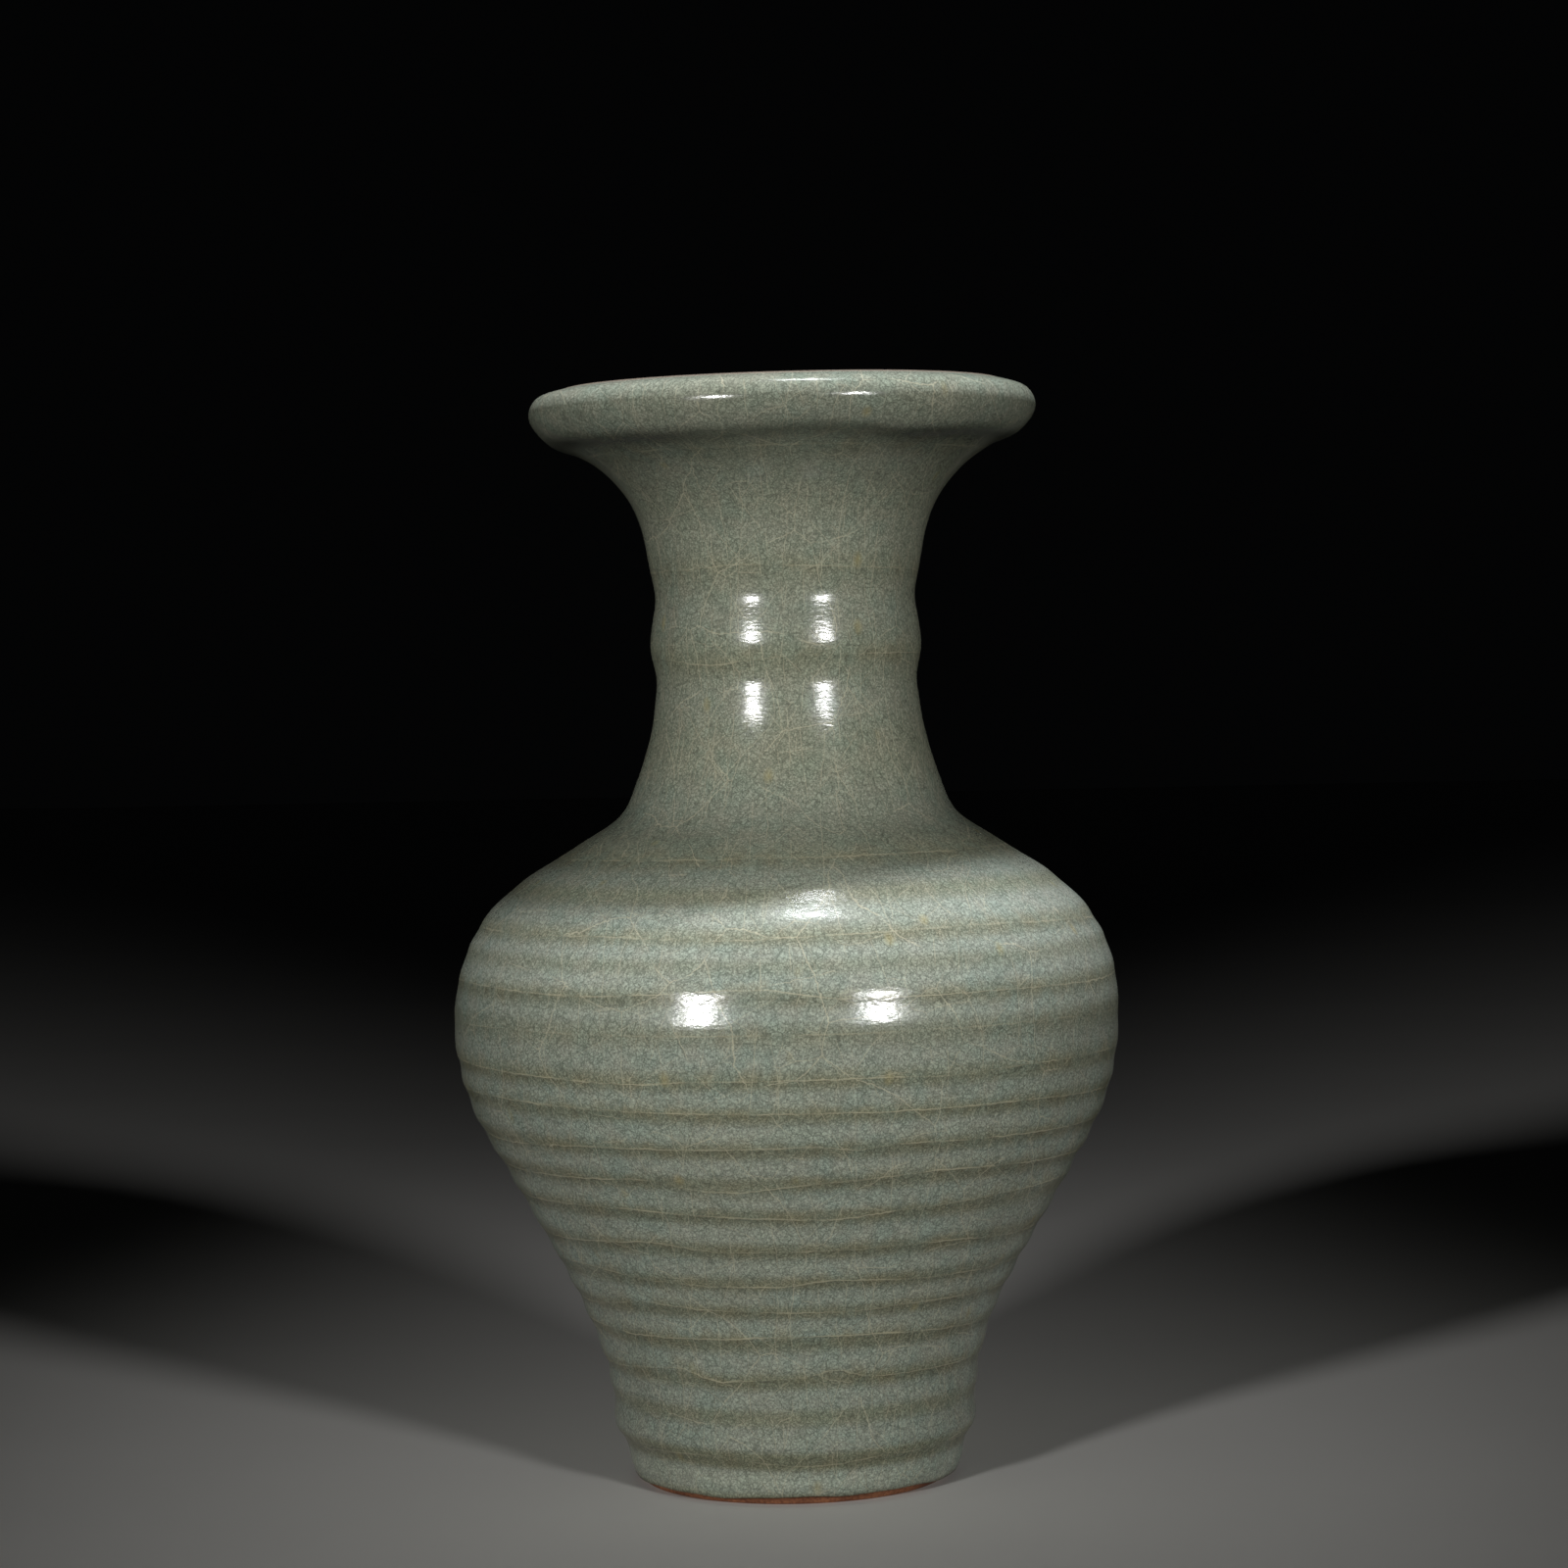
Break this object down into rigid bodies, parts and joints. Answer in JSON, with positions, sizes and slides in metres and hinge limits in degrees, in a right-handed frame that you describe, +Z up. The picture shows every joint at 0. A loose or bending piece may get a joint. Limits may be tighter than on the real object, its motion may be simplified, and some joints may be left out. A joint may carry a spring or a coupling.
{
  "type": "dish-mouth vase",
  "caption": "Tall celadon vase with a dish mouth, a ringed neck, a full belly narrowing to a waist, and a bare clay foot around a glazed recess.",
  "frame": {"origin": "centre of the foot, on the surface that the vase stands on", "axes": "+Z up along the vase's axis, from the foot to the mouth"},
  "size_m": [0.183, 0.183, 0.3],
  "materials": {
    "foot_clay": "bare stoneware burnt red-brown, matt",
    "body_clay": "grey stoneware under the glaze, matt",
    "seam_slip": "fired joining slip, matt",
    "outside_celadon": "grey-green crackled celadon glaze, glossy",
    "inside_celadon": "grey-green crackled celadon glaze, glossy",
    "base_celadon": "grey-green crackled celadon glaze, glossy"
  },
  "bodies": {
    "root": {"foot_ring": "foot_clay", "lower_body": "body_clay", "upper_body": "body_clay", "neck": "body_clay", "dish_mouth": "body_clay", "foot_slip": "seam_slip", "belly_slip": "seam_slip", "shoulder_slip": "seam_slip", "mouth_slip": "seam_slip", "outer_glaze": "outside_celadon", "inner_glaze": "inside_celadon", "base_glaze": "base_celadon"}
  },
  "joints": []
}
